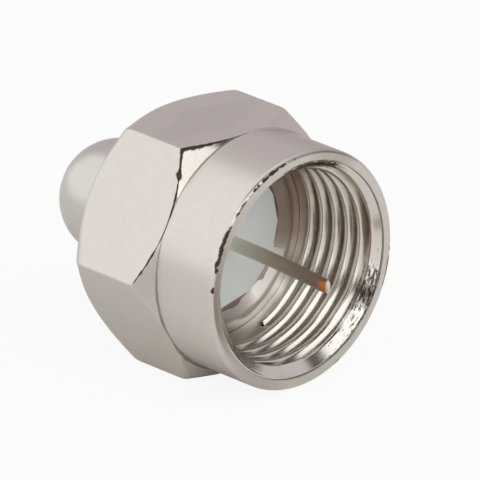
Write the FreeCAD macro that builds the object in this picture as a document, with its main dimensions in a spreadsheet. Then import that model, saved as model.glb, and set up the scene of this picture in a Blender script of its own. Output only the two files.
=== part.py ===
import FreeCAD, Part

import math
import os

import Sketcher

# F-type terminator: a coupling nut with an inside thread turns on a closed shell that holds the load.
# Frame: the origin is the centre of the nut's mouth, on the axis. +Y runs along the axis into the nut,
# so the mouth faces -Y. +Z is up, and the nut lies on the flat of its hexagon that faces -Z.
# Turned profiles are drawn in the XY plane, with the radius along X and the depth along Y.

# Driving sizes, in millimetres and degrees.
SIZES = {
    # Coupling nut. Its inside thread is 3/8-32 UNEF, right-hand, whose ridges end at the crest radius.
    # At +X the groove's centre starts the run-up in front of the mouth and is a pitch deeper every turn.
    # It stops a pitch short of the flange, and from there on the bore is plain.
    "crest_radius": 4.38,
    "lead_in_depth": 0.57,
    "pitch": 0.794,
    "thread_depth": 0.38,
    "thread_root_flat": 0.1,
    "thread_flank_angle": 30.0,
    "thread_run_up": 0.22,
    "flat_wall": 0.74,
    "rear_wall": 2.0,
    "collar_step": 0.02,
    "collar_length": 3.37,
    "collar_edge_break": 0.12,
    "front_chamfer_angle": 41.0,
    "rear_chamfer_angle": 38.0,
    "rear_face_inset": 0.3,
    # Shell: flange, tail with a ball end, and the bore for the load.
    "flange_depth": 4.7,
    "flange_clearance": 0.08,
    "flange_edge_break": 0.08,
    "flange_rim": 0.56,
    "flange_floor": 0.6,
    "tail_radius": 2.68,
    "end_wall": 1.02,
    "load_bore_radius": 1.6,
    "drill_point_angle": 31.0,
    # Lip of the shell, staked over the insulator with a punch of many flats.
    "stake_flats": 16,
    "stake_depth": 0.3,
    "stake_bite": 0.42,
    "stake_flare": 0.07,
    "stake_land": 0.05,
    # Insulator, a plain disc.
    "insulator_thickness": 0.9,
    "insulator_slack": 0.02,
    # Load: a resistor, its two leads, and solder at the closed end.
    "lead_radius": 0.34,
    "pin_reach": 1.6,
    "pin_tip_break": 0.08,
    "resistor_gap": 0.6,
    "resistor_length": 4.9,
    "cap_radius": 1.15,
    "cap_length": 1.2,
    "cap_edge_break": 0.2,
    "waist_depth": 0.17,
    "waist_slope": 0.25,
    "rear_gap": 0.9,
    "solder_depth": 0.75,
    "solder_climb": 0.3,
    "lead_stop": 0.15,
    # Split retaining ring, half in a groove of the shell and half in a groove of the nut.
    "ring_setback": 0.8,
    "ring_thickness": 0.55,
    "ring_width": 0.7,
    "ring_bite": 0.4,
    "ring_gap_angle": 24.0,
    "ring_clearance": 0.06,
    # Play between the nut and the shell, across the axis and along it.
    "running_clearance": 0.1,
    "end_play": 0.1,
    # How far a cutting profile runs past the metal that it cuts.
    "overcut": 1.0,
}

# Places that follow from the sizes. The sheet holds each one as a formula.
PLACES = {
    # Shell, front to back.
    "insulator_front": "Sizes.flange_depth + Sizes.stake_depth",
    "insulator_back": "insulator_front + Sizes.insulator_thickness",
    "flange_back": "insulator_back + Sizes.flange_floor",
    "flange_radius": "Sizes.crest_radius - Sizes.flange_clearance",
    "flange_face_radius": "flange_radius - Sizes.flange_edge_break",
    "flange_edge_depth": "Sizes.flange_depth + Sizes.flange_edge_break",
    "pocket_radius": "flange_radius - Sizes.flange_rim",
    "insulator_radius": "pocket_radius - Sizes.insulator_slack",
    "stake_rear_radius": "insulator_radius - Sizes.stake_bite",
    "stake_front_radius": "stake_rear_radius + Sizes.stake_flare",
    "lip_radius": "stake_rear_radius * cos(180 / Sizes.stake_flats) - Sizes.stake_land",
    "stake_front_offset": "-Sizes.flange_depth",
    "stake_rear_offset": "-insulator_front",
    # Load, front to back.
    "pin_tip": "-Sizes.pin_reach",
    "pin_tip_radius": "Sizes.lead_radius - Sizes.pin_tip_break",
    "pin_shoulder": "pin_tip + Sizes.pin_tip_break",
    "pin_hole_radius": "Sizes.lead_radius + Sizes.insulator_slack",
    "resistor_front": "insulator_back + Sizes.resistor_gap",
    "resistor_back": "resistor_front + Sizes.resistor_length",
    "cap_face_radius": "Sizes.cap_radius - Sizes.cap_edge_break",
    "waist_radius": "Sizes.cap_radius - Sizes.waist_depth",
    "front_cap_edge": "resistor_front + Sizes.cap_edge_break",
    "front_cap_end": "resistor_front + Sizes.cap_length",
    "waist_front": "front_cap_end + Sizes.waist_slope",
    "back_cap_end": "resistor_back - Sizes.cap_length",
    "waist_back": "back_cap_end - Sizes.waist_slope",
    "back_cap_edge": "resistor_back - Sizes.cap_edge_break",
    # Closed end: the drill's point, the solder in it and the ball outside.
    "load_bore_end": "resistor_back + Sizes.rear_gap",
    "drill_tip": "load_bore_end + Sizes.load_bore_radius * tan(Sizes.drill_point_angle)",
    "solder_front": "drill_tip - Sizes.solder_depth",
    "solder_radius": "Sizes.solder_depth / tan(Sizes.drill_point_angle)",
    "solder_peak": "solder_front - Sizes.solder_climb",
    "rear_lead_end": "drill_tip - Sizes.lead_radius * tan(Sizes.drill_point_angle) - Sizes.lead_stop",
    "ball_centre": "drill_tip + Sizes.end_wall - Sizes.tail_radius",
    # Nut, inside.
    "before_mouth": "-Sizes.overcut",
    "lead_in_start": "Sizes.crest_radius + Sizes.lead_in_depth + Sizes.overcut",
    "groove_radius": "Sizes.crest_radius + Sizes.thread_depth",
    "nut_shoulder": "flange_back + Sizes.end_play",
    "nut_hole_radius": "Sizes.tail_radius + Sizes.running_clearance",
    "nut_length": "nut_shoulder + Sizes.rear_wall",
    "past_nut": "nut_length + Sizes.overcut",
    # Thread form, where the cut starts in front of the mouth.
    "form_inner_radius": "Sizes.crest_radius - Sizes.pitch / 8",
    "form_flank": "(groove_radius - form_inner_radius) * tan(Sizes.thread_flank_angle)",
    "form_root_front": "-Sizes.thread_run_up - Sizes.thread_root_flat / 2",
    "form_root_back": "form_root_front + Sizes.thread_root_flat",
    "form_front": "form_root_front - form_flank",
    "form_back": "form_root_back + form_flank",
    "thread_travel": "Sizes.thread_run_up + Sizes.flange_depth - Sizes.pitch",
    # Nut, outside.
    "flat_radius": "groove_radius + Sizes.flat_wall",
    "corner_radius": "flat_radius / cos(30)",
    "outside": "corner_radius + Sizes.overcut",
    "collar_radius": "flat_radius - Sizes.collar_step",
    "edge_break_start": "collar_radius - Sizes.collar_edge_break - Sizes.overcut",
    "front_cone_end": "Sizes.collar_length + (outside - collar_radius) * tan(Sizes.front_chamfer_angle)",
    "rear_face_radius": "flat_radius - Sizes.rear_face_inset",
    "rear_cone_end": "nut_length - (outside - rear_face_radius) * tan(Sizes.rear_chamfer_angle)",
    "rear_cone_start": "rear_face_radius - Sizes.overcut / tan(Sizes.rear_chamfer_angle)",
    # Retaining ring and its grooves.
    "ring_front": "nut_shoulder + Sizes.ring_setback",
    "ring_back": "ring_front + Sizes.ring_thickness",
    "groove_front": "ring_front - Sizes.ring_clearance",
    "groove_back": "ring_back + Sizes.ring_clearance",
    "shell_groove_radius": "Sizes.tail_radius - Sizes.ring_bite",
    "ring_inner_radius": "shell_groove_radius + Sizes.ring_clearance",
    "ring_outer_radius": "ring_inner_radius + Sizes.ring_width",
    "nut_groove_radius": "ring_outer_radius + Sizes.running_clearance",
    "ring_sweep": "360 - Sizes.ring_gap_angle",
}


def fill_sheet(doc, name, cells):
    """One row for each cell: its name beside its number or formula, which has the name as its alias."""
    sheet = doc.addObject("Spreadsheet::Sheet", name)
    for row, (alias, content) in enumerate(cells.items(), start=1):
        sheet.set(f"A{row}", alias)
        sheet.set(f"B{row}", content)
        sheet.setAlias(f"B{row}", alias)
    doc.recompute()
    return sheet


def read_cell(doc, reference):
    """The number that a reference such as Sizes.tail_radius stands for."""
    sheet_name, alias = reference.split(".")
    return float(getattr(doc.getObject(sheet_name), alias))


def new_body(doc, label):
    body = doc.addObject("PartDesign::Body", label)
    body.Label = label
    return body


def new_sketch(body, name, plane_role):
    """A sketch on one of the body's own origin planes."""
    sketch = body.newObject("Sketcher::SketchObject", name)
    plane = next(item for item in body.Origin.OriginFeatures if item.Role == plane_role)
    sketch.AttachmentSupport = [(plane, "")]
    sketch.MapMode = "FlatFace"
    return sketch


def bind(sketch, constraint, reference):
    """Add a dimension that reads its value from a sheet."""
    index = sketch.addConstraint(constraint)
    sketch.setExpression(f"Constraints[{index}]", reference)


def hold_corner(sketch, edge, radius, depth):
    """Fix an edge's start. A radius of None puts it on the axis, and a depth of None leaves it to an arc."""
    doc = sketch.Document
    if radius is None:
        sketch.addConstraint(Sketcher.Constraint("PointOnObject", edge, 1, -2))
    else:
        bind(sketch, Sketcher.Constraint("DistanceX", -1, 1, edge, 1, read_cell(doc, radius)), radius)
    if depth is not None:
        bind(sketch, Sketcher.Constraint("DistanceY", -1, 1, edge, 1, read_cell(doc, depth)), depth)


def draw_profile(sketch, corners, ball_centre=None):
    """Draw a closed outline through corners given as (radius, depth).

    The edge that leads to a corner with no depth is a quarter circle about ball_centre, on the axis.
    """
    doc = sketch.Document
    count = len(corners)
    points = []
    for radius, depth in corners:
        x = read_cell(doc, radius) if radius else 0.0
        y = read_cell(doc, depth) if depth else read_cell(doc, ball_centre) + points[-1].x
        points.append(FreeCAD.Vector(x, y, 0))
    for index, start in enumerate(points):
        following = (index + 1) % count
        if corners[following][1] is None:
            centre = FreeCAD.Vector(0, start.y, 0)
            circle = Part.Circle(centre, FreeCAD.Vector(0, 0, 1), start.x)
            sketch.addGeometry(Part.ArcOfCircle(circle, 0, math.pi / 2), False)
            sketch.addConstraint(Sketcher.Constraint("PointOnObject", index, 3, -2))
            bind(sketch, Sketcher.Constraint("DistanceY", -1, 1, index, 3, start.y), ball_centre)
        else:
            sketch.addGeometry(Part.LineSegment(start, points[following]), False)
    for index, (radius, depth) in enumerate(corners):
        sketch.addConstraint(Sketcher.Constraint("Coincident", (index - 1) % count, 2, index, 1))
        hold_corner(sketch, index, radius, depth)


def draw_polygon(sketch, sides, radius):
    """Draw a regular polygon round the axis inside a construction circle, with one corner on +X."""
    size = read_cell(sketch.Document, radius)
    step = 2 * math.pi / sides
    points = [FreeCAD.Vector(size * math.cos(step * k), size * math.sin(step * k), 0) for k in range(sides)]
    for index, point in enumerate(points):
        sketch.addGeometry(Part.LineSegment(point, points[(index + 1) % sides]), False)
    outer = Part.Circle(FreeCAD.Vector(0, 0, 0), FreeCAD.Vector(0, 0, 1), size)
    circle = sketch.addGeometry(outer, True)
    sketch.addConstraint(Sketcher.Constraint("Coincident", circle, 3, -1, 1))
    bind(sketch, Sketcher.Constraint("Radius", circle, size), radius)
    for index in range(sides):
        sketch.addConstraint(Sketcher.Constraint("Coincident", (index - 1) % sides, 2, index, 1))
        sketch.addConstraint(Sketcher.Constraint("PointOnObject", index, 1, circle))
    for index in range(1, sides):
        sketch.addConstraint(Sketcher.Constraint("Equal", 0, index))
    sketch.addConstraint(Sketcher.Constraint("PointOnObject", 0, 1, -1))


def turn(body, kind, name, corners, ball_centre=None, sweep=None):
    """Revolve a profile about the axis, as metal (Revolution) or as a cut (Groove)."""
    sketch = new_sketch(body, f"{name}_profile", "XY_Plane")
    draw_profile(sketch, corners, ball_centre)
    feature = body.newObject(f"PartDesign::{kind}", name)
    feature.Profile = sketch
    feature.ReferenceAxis = (sketch, ["V_Axis"])
    feature.Angle = 360.0
    if sweep:
        feature.setExpression("Angle", sweep)
    body.Document.recompute()
    return feature


def build_coupling_nut(doc):
    """Hexagon bar, turned down to a collar in front, chamfered behind and bored from its mouth."""
    body = new_body(doc, "coupling_nut")

    bar_section = new_sketch(body, "bar_section", "XZ_Plane")
    draw_polygon(bar_section, 6, "Places.corner_radius")
    bar = body.newObject("PartDesign::Pad", "bar")
    bar.Profile = bar_section
    bar.setExpression("Length", "Places.nut_length")
    # The XZ plane faces -Y, and the bar runs the other way.
    bar.Reversed = True
    doc.recompute()

    turn(body, "Groove", "collar", [
        ("Places.edge_break_start", "Places.before_mouth"),
        ("Places.collar_radius", "Sizes.collar_edge_break"),
        ("Places.collar_radius", "Sizes.collar_length"),
        ("Places.outside", "Places.front_cone_end"),
        ("Places.outside", "Places.before_mouth"),
    ])
    turn(body, "Groove", "rear_chamfer", [
        ("Places.outside", "Places.rear_cone_end"),
        ("Places.rear_cone_start", "Places.past_nut"),
        ("Places.outside", "Places.past_nut"),
    ])
    turn(body, "Groove", "bore", [
        (None, "Places.before_mouth"),
        ("Places.lead_in_start", "Places.before_mouth"),
        ("Sizes.crest_radius", "Sizes.lead_in_depth"),
        ("Sizes.crest_radius", "Places.nut_shoulder"),
        ("Places.nut_hole_radius", "Places.nut_shoulder"),
        ("Places.nut_hole_radius", "Places.past_nut"),
        (None, "Places.past_nut"),
    ])
    turn(body, "Groove", "nut_ring_groove", [
        ("Sizes.tail_radius", "Places.groove_front"),
        ("Places.nut_groove_radius", "Places.groove_front"),
        ("Places.nut_groove_radius", "Places.groove_back"),
        ("Sizes.tail_radius", "Places.groove_back"),
    ])

    # The thread comes last, as one V groove that starts in front of the mouth.
    form = new_sketch(body, "thread_form", "XY_Plane")
    draw_profile(form, [
        ("Places.form_inner_radius", "Places.form_front"),
        ("Places.groove_radius", "Places.form_root_front"),
        ("Places.groove_radius", "Places.form_root_back"),
        ("Places.form_inner_radius", "Places.form_back"),
    ])
    thread = body.newObject("PartDesign::SubtractiveHelix", "thread")
    thread.Profile = form
    thread.ReferenceAxis = (form, ["V_Axis"])
    thread.Mode = "pitch-height-angle"
    thread.setExpression("Pitch", "Sizes.pitch")
    thread.setExpression("Height", "Places.thread_travel")
    thread.LeftHanded = False
    doc.recompute()


def build_shell(doc):
    """Turned in one piece: flange with a pocket, tail with a ball end, and a blind bore for the load."""
    body = new_body(doc, "shell")
    turn(body, "Revolution", "shell_turning", [
        ("Places.lip_radius", "Sizes.flange_depth"),
        ("Places.flange_face_radius", "Sizes.flange_depth"),
        ("Places.flange_radius", "Places.flange_edge_depth"),
        ("Places.flange_radius", "Places.flange_back"),
        ("Sizes.tail_radius", "Places.flange_back"),
        ("Sizes.tail_radius", "Places.groove_front"),
        ("Places.shell_groove_radius", "Places.groove_front"),
        ("Places.shell_groove_radius", "Places.groove_back"),
        ("Sizes.tail_radius", "Places.groove_back"),
        ("Sizes.tail_radius", "Places.ball_centre"),
        (None, None),
        (None, "Places.drill_tip"),
        ("Sizes.load_bore_radius", "Places.load_bore_end"),
        ("Sizes.load_bore_radius", "Places.insulator_back"),
        ("Places.pocket_radius", "Places.insulator_back"),
        ("Places.pocket_radius", "Places.insulator_front"),
        ("Places.lip_radius", "Places.insulator_front"),
    ], ball_centre="Places.ball_centre")

    # The punch leaves the lip with flats that lean towards the insulator.
    flats = round(read_cell(doc, "Sizes.stake_flats"))
    punch_front = new_sketch(body, "punch_front", "XZ_Plane")
    draw_polygon(punch_front, flats, "Places.stake_front_radius")
    punch_front.setExpression(".AttachmentOffset.Base.z", "Places.stake_front_offset")
    punch_rear = new_sketch(body, "punch_rear", "XZ_Plane")
    draw_polygon(punch_rear, flats, "Places.stake_rear_radius")
    punch_rear.setExpression(".AttachmentOffset.Base.z", "Places.stake_rear_offset")
    staking = body.newObject("PartDesign::SubtractiveLoft", "staking")
    staking.Profile = punch_front
    staking.Sections = [punch_rear]
    staking.Ruled = True
    doc.recompute()


def build_insulator(doc):
    body = new_body(doc, "insulator")
    turn(body, "Revolution", "disc", [
        ("Places.pin_hole_radius", "Places.insulator_front"),
        ("Places.insulator_radius", "Places.insulator_front"),
        ("Places.insulator_radius", "Places.insulator_back"),
        ("Places.pin_hole_radius", "Places.insulator_back"),
    ])


def build_centre_pin(doc):
    """The resistor's front lead, cut off in front of the nut's mouth."""
    body = new_body(doc, "centre_pin")
    turn(body, "Revolution", "front_wire", [
        (None, "Places.pin_tip"),
        ("Places.pin_tip_radius", "Places.pin_tip"),
        ("Sizes.lead_radius", "Places.pin_shoulder"),
        ("Sizes.lead_radius", "Places.resistor_front"),
        (None, "Places.resistor_front"),
    ])


def build_resistor(doc):
    """Axial resistor: a lacquered body with a cap pressed on each end."""
    body = new_body(doc, "resistor")
    turn(body, "Revolution", "resistor_body", [
        (None, "Places.resistor_front"),
        ("Places.cap_face_radius", "Places.resistor_front"),
        ("Sizes.cap_radius", "Places.front_cap_edge"),
        ("Sizes.cap_radius", "Places.front_cap_end"),
        ("Places.waist_radius", "Places.waist_front"),
        ("Places.waist_radius", "Places.waist_back"),
        ("Sizes.cap_radius", "Places.back_cap_end"),
        ("Sizes.cap_radius", "Places.back_cap_edge"),
        ("Places.cap_face_radius", "Places.resistor_back"),
        (None, "Places.resistor_back"),
    ])


def build_rear_lead(doc):
    body = new_body(doc, "rear_lead")
    turn(body, "Revolution", "rear_wire", [
        (None, "Places.resistor_back"),
        ("Sizes.lead_radius", "Places.resistor_back"),
        ("Sizes.lead_radius", "Places.rear_lead_end"),
        (None, "Places.rear_lead_end"),
    ])


def build_solder_joint(doc):
    """Solder that fills the drill's point, climbs the rear lead and covers its end."""
    body = new_body(doc, "solder_joint")
    turn(body, "Revolution", "solder", [
        ("Sizes.lead_radius", "Places.solder_peak"),
        ("Places.solder_radius", "Places.solder_front"),
        (None, "Places.drill_tip"),
        (None, "Places.rear_lead_end"),
        ("Sizes.lead_radius", "Places.rear_lead_end"),
    ])


def build_retaining_ring(doc):
    """Split spring ring that keeps the nut on the shell."""
    body = new_body(doc, "retaining_ring")
    turn(body, "Revolution", "split_ring", [
        ("Places.ring_inner_radius", "Places.ring_front"),
        ("Places.ring_outer_radius", "Places.ring_front"),
        ("Places.ring_outer_radius", "Places.ring_back"),
        ("Places.ring_inner_radius", "Places.ring_back"),
    ], sweep="Places.ring_sweep")


def check_document(doc):
    """Stop before anything is written if an object failed or a sub-part has no sound solid."""
    for item in doc.Objects:
        if "Invalid" in item.State or "Error" in item.State:
            raise RuntimeError(f"{item.Label} did not recompute: {item.State}")
    bodies = [item for item in doc.Objects if item.TypeId == "PartDesign::Body"]
    for body in bodies:
        if body.Shape.isNull() or not body.Shape.isValid() or len(body.Shape.Solids) != 1:
            raise RuntimeError(f"{body.Label} is not one sound solid")
    return bodies


def write_parts(bodies):
    os.makedirs("parts", exist_ok=True)
    for body in bodies:
        body.Shape.exportStep(f"parts/{body.Label}.step")
        print(f"{body.Label}: {body.Shape.Volume:.2f} cubic millimetres")


doc = FreeCAD.newDocument("terminator")
fill_sheet(doc, "Sizes", {alias: str(number) for alias, number in SIZES.items()})
fill_sheet(doc, "Places", {alias: f"={formula}" for alias, formula in PLACES.items()})
build_coupling_nut(doc)
build_shell(doc)
build_insulator(doc)
build_centre_pin(doc)
build_resistor(doc)
build_rear_lead(doc)
build_solder_joint(doc)
build_retaining_ring(doc)
doc.recompute()
write_parts(check_document(doc))
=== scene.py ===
import math

import bmesh
import bpy
import numpy as np
from mathutils import Matrix, Vector


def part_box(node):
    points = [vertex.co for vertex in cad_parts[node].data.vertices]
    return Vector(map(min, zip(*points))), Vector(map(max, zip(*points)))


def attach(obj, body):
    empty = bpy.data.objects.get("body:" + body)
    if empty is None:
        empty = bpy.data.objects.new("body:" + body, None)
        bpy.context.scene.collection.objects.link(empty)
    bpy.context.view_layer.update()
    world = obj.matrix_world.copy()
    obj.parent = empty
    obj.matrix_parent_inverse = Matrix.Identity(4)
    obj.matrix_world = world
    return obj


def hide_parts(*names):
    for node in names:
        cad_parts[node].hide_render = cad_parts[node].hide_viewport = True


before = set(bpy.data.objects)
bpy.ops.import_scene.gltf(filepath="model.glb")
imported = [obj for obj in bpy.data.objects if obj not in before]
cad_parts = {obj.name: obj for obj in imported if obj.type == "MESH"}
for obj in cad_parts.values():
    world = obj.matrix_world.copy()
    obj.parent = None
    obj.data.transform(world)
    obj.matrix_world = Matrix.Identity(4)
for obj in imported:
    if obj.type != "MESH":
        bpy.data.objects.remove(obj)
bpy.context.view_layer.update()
scene = bpy.context.scene
scene.view_settings.view_transform = "Standard"


# Viewpoint
# A long lens looks down on the terminator from the front left, far enough away that the barrel
# hardly tapers. All lengths below are written in millimetres and turned into metres by MM.
MM = 0.001
camera_azimuth = math.radians(-43.318)
camera_elevation = math.radians(23.209)
camera_roll = math.radians(-1.035)
camera_distance = 500 * MM
camera_target = Vector((1.029, 5.0, -0.356)) * MM
focal_length_pixels = 11395
photo_width_pixels = 480

camera_data = bpy.data.cameras.new("camera")
camera_data.sensor_width = 36
camera_data.lens = focal_length_pixels / photo_width_pixels * camera_data.sensor_width
camera_data.clip_start = 0.05
camera_data.clip_end = 20
camera = bpy.data.objects.new("camera", camera_data)
scene.collection.objects.link(camera)
away = Vector((
    math.sin(camera_azimuth) * math.cos(camera_elevation),
    -math.cos(camera_azimuth) * math.cos(camera_elevation),
    math.sin(camera_elevation),
))
level = Vector((math.cos(camera_azimuth), math.sin(camera_azimuth), 0))
upright = away.cross(level)
rightward = math.cos(camera_roll) * level + math.sin(camera_roll) * upright
upward = math.cos(camera_roll) * upright - math.sin(camera_roll) * level
turned = Matrix((rightward, upward, away)).transposed()
camera.matrix_world = Matrix.Translation(camera_target + away * camera_distance) @ turned.to_4x4()
scene.camera = camera


# Table top
# A white sheet just under the lowest flat of the hexagon. What the camera sees of it is lifted to white,
# less the soft shadow of the part; the metal mirrors it as plain paper.
table_gap = 0.02 * MM
table_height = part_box("coupling_nut")[0][2] - table_gap
table_half_width = 400 * MM
paper_colour = (0.92, 0.92, 0.92, 1)
paper_lift = 0.9


def new_material(name):
    """An empty node material, its node tree and its output."""
    material = bpy.data.materials.new(name)
    material.use_nodes = True
    tree = material.node_tree
    tree.nodes.clear()
    return material, tree, tree.nodes.new("ShaderNodeOutputMaterial")


def add_node(tree, kind, settings=None, inputs=None):
    """A node with its settings and inputs. An input is a value, or the socket that feeds it."""
    node = tree.nodes.new(kind)
    for key, value in (settings or {}).items():
        setattr(node, key, value)
    for key, value in (inputs or {}).items():
        if isinstance(value, bpy.types.NodeSocket):
            tree.links.new(value, node.inputs[key])
        else:
            node.inputs[key].default_value = value
    return node


def number(tree, operation, *values):
    """What a math node makes of values and sockets."""
    return add_node(tree, "ShaderNodeMath", {"operation": operation}, dict(enumerate(values))).outputs[0]


def product(tree, *factors):
    return number(tree, "MULTIPLY", *factors)


def make_object(name, mesh, *materials):
    piece = bpy.data.objects.new(name, mesh)
    scene.collection.objects.link(piece)
    for material in materials:
        mesh.materials.append(material)
    return piece


sheet_material, sheet_tree, sheet_output = new_material("white_sheet")
sheet_paper = add_node(sheet_tree, "ShaderNodeBsdfDiffuse", inputs={"Color": paper_colour})
sheet_glow = add_node(sheet_tree, "ShaderNodeEmission", inputs={"Color": (1, 1, 1, 1), "Strength": 1.0})
sheet_rays = add_node(sheet_tree, "ShaderNodeLightPath")
sheet_lift = product(sheet_tree, sheet_rays.outputs["Is Camera Ray"], paper_lift)
sheet_mix = add_node(sheet_tree, "ShaderNodeMixShader", inputs={
    0: sheet_lift, 1: sheet_paper.outputs[0], 2: sheet_glow.outputs[0]})
sheet_tree.links.new(sheet_mix.outputs[0], sheet_output.inputs["Surface"])

sheet_mesh = bpy.data.meshes.new("table_top")
sheet_mesh.from_pydata(
    [(x * table_half_width, y * table_half_width, table_height)
     for x, y in ((-1, -1), (1, -1), (1, 1), (-1, 1))],
    [], [(0, 1, 2, 3)])
table_top = make_object("table_top", sheet_mesh, sheet_material)


# Studio light
# The room is white, and metal mirrors it so. A large soft box stands in front, edged by black cards. A
# grey wall goes from there round the right side to the back. A small dark brown patch lies on the table
# before the mouth: it is painted shadow, standing for the part's shadow on the floor there. The cards, the
# wall and the patch are seen only in reflections.
wall_colour = (0.60, 0.55, 0.575, 1)
card_colour = (0.035, 0.025, 0.02, 1)
wall_radius = 300 * MM
wall_azimuths = (44, 172)
wall_elevations = (-8, 60)
# Each card's distance in wall radii, and its spans of azimuth and elevation in degrees.
cards = {
    "card_behind_box": (1.2, (-26, 34), (-2, 62)),
    "card_beside_box": (0.9, (34, 47), (-8, 60)),
    "card_overhead": (0.9, (-80, 40), (62, 89)),
    "card_on_right": (0.9, (52, 72), (4, 26)),
    "card_round_lens": (0.9, (-50, -32), (12, 34)),
}
# Painted shadow: a dark patch that stands for the part's shadow on the floor before the mouth.
floor_shadow_colour = (0.16, 0.12, 0.10, 1)
floor_shadow_corners = [(-2, -22), (7, -22), (7, -5.5), (-2, -5.5)]
floor_shadow_lift = 0.05 * MM
room_fill = (0.62, 0.61, 0.60, 1)
soft_box_distance = 320 * MM
soft_box_azimuth = math.radians(4)
soft_box_elevation = math.radians(28)
soft_box_width = 370 * MM
soft_box_height = 380 * MM
soft_box_radiance = 1.2

world = bpy.data.worlds.new("studio")
scene.world = world
world.use_nodes = True
world_tree = world.node_tree
world_tree.nodes.clear()
world_output = add_node(world_tree, "ShaderNodeOutputWorld")
world_rays = add_node(world_tree, "ShaderNodeLightPath")
seen_or_mirrored = number(
    world_tree, "MAXIMUM", world_rays.outputs["Is Camera Ray"], world_rays.outputs["Is Glossy Ray"])
white_rays = number(world_tree, "MAXIMUM", seen_or_mirrored, world_rays.outputs["Is Transmission Ray"])
room_light = add_node(world_tree, "ShaderNodeBackground", inputs={"Color": room_fill})
white_room = add_node(world_tree, "ShaderNodeBackground", inputs={"Color": (1, 1, 1, 1)})
world_mix = add_node(world_tree, "ShaderNodeMixShader", inputs={
    0: white_rays, 1: room_light.outputs[0], 2: white_room.outputs[0]})
world_tree.links.new(world_mix.outputs[0], world_output.inputs["Surface"])


def screen_material(name, colour):
    """A screen of even brightness that is seen only in reflections."""
    material, tree, output = new_material(name)
    mirrored = add_node(tree, "ShaderNodeLightPath").outputs["Is Glossy Ray"]
    face = add_node(tree, "ShaderNodeEmission", inputs={"Color": colour, "Strength": 1.0})
    clear = add_node(tree, "ShaderNodeBsdfTransparent")
    mix = add_node(tree, "ShaderNodeMixShader", inputs={
        0: mirrored, 1: clear.outputs[0], 2: face.outputs[0]})
    tree.links.new(mix.outputs[0], output.inputs["Surface"])
    return material


def room_direction(azimuth, elevation):
    """Unit vector from the part, with azimuth turning from the front (-Y) towards the right (+X)."""
    return Vector((math.sin(azimuth) * math.cos(elevation), -math.cos(azimuth) * math.cos(elevation),
                   math.sin(elevation)))


def curved_screen(name, material, distance, azimuths, elevations, steps=12):
    """A patch of a sphere about the part, in degrees of azimuth and elevation."""
    points = []
    for row in range(steps + 1):
        elevation = math.radians(elevations[0] + (elevations[1] - elevations[0]) * row / steps)
        for column in range(steps + 1):
            azimuth = math.radians(azimuths[0] + (azimuths[1] - azimuths[0]) * column / steps)
            points.append(room_direction(azimuth, elevation) * distance)
    faces = []
    for row in range(steps):
        for column in range(steps):
            corner = row * (steps + 1) + column
            faces.append((corner, corner + 1, corner + steps + 2, corner + steps + 1))
    mesh = bpy.data.meshes.new(name)
    mesh.from_pydata(points, [], faces)
    screen = make_object(name, mesh, material)


curved_screen(
    "grey_wall", screen_material("grey_wall", wall_colour), wall_radius, wall_azimuths, wall_elevations)
card_material = screen_material("black_card", card_colour)
for card, (radii, azimuths, elevations) in cards.items():
    curved_screen(card, card_material, radii * wall_radius, azimuths, elevations)

# The painted floor shadow, lying just above the table before the mouth.
floor_shadow_mesh = bpy.data.meshes.new("floor_shadow_patch")
floor_shadow_mesh.from_pydata(
    [(x * MM, y * MM, table_height + floor_shadow_lift) for x, y in floor_shadow_corners], [], [(0, 1, 2, 3)])
floor_shadow_patch = make_object("floor_shadow_patch", floor_shadow_mesh, screen_material("floor_shadow_screen", floor_shadow_colour))

soft_box = bpy.data.lights.new("soft_box", "AREA")
soft_box.shape = "RECTANGLE"
soft_box.size = soft_box_width
soft_box.size_y = soft_box_height
soft_box.energy = soft_box_radiance * math.pi * soft_box_width * soft_box_height
soft_box_holder = bpy.data.objects.new("soft_box", soft_box)
scene.collection.objects.link(soft_box_holder)
soft_box_holder.location = room_direction(soft_box_azimuth, soft_box_elevation) * soft_box_distance
soft_box_holder.rotation_mode = "QUATERNION"
soft_box_holder.rotation_quaternion = soft_box_holder.location.to_track_quat("Z", "Y")


# Coupling nut
# Turned from hexagon bar in brass: a round collar in front, a chamfered hexagon behind, and a 3/8-32
# thread cut inside its mouth. Satin nickel plate covers it, worn to dark lines along its sharp edges.
flat_radius = 5.5
hexagon_corner_round = 0.14
collar_radius = 5.48
collar_length = 3.37
rim_edge_round = 0.24
rim_wear_radius = 5.37
lead_in_round = 0.06
front_corner_round = 0.07
rear_corner_round = 0.5
seam_round = 0.03
rear_edge_round = 0.12
hole_edge_round = 0.08
shoulder_edge_round = 0.04
shoulder_corner_round = 0.06
# The most of an edge that the rounding at one of its ends takes.
round_share = 0.45
# Two opposite corners of the hexagon are worn further, at both ends. The reach is in degrees.
front_corner_wear = 0.3
rear_corner_wear = 0.5
worn_corner = 60
worn_corner_reach = 12
front_cone = math.radians(41)
rear_cone = math.radians(38)
rear_face_radius = 5.2
nut_length = 8.6
lead_in_radius = 4.95
crest_radius = 4.38
thread_pitch = 0.794
thread_depth = 0.38
thread_root_flat = 0.1
thread_flank = math.radians(30)
thread_run_up = 0.22
thread_turns = 5.196
thread_runout = 0.015
shoulder_depth = 6.6
nut_hole_radius = 2.78
ring_groove_radius = 3.14
ring_groove_front = 7.34
ring_groove_back = 8.01
crest_rounding = 0.25
# The cut's full depth as a share of the pitch.
full_cut_share = 0.48
threaded_depth = 4.4
thread_rows_per_pitch = 21
arc_points = 6
nut_sharp_angle = 38
merge_distance = 0.0004
sliver_length = 0.0001
# What the bore's points give as their gaps to the worn edges, out of any wear's reach.
bore_rim_gap = 1.0
bore_front_gap = 5.0
# The sockets of node groups that don't carry plain numbers.
socket_kinds = {
    "Geometry": "NodeSocketGeometry", "Material": "NodeSocketMaterial", "Place": "NodeSocketVector"}
# Columns between one hexagon corner and the middle of the next flat, in degrees, closest at the corner.
column_steps = [0, 0.3, 0.6, 0.95, 1.35, 1.8, 2.4, 3.2] + [4 + 26 * k / 28 for k in range(29)]


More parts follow.
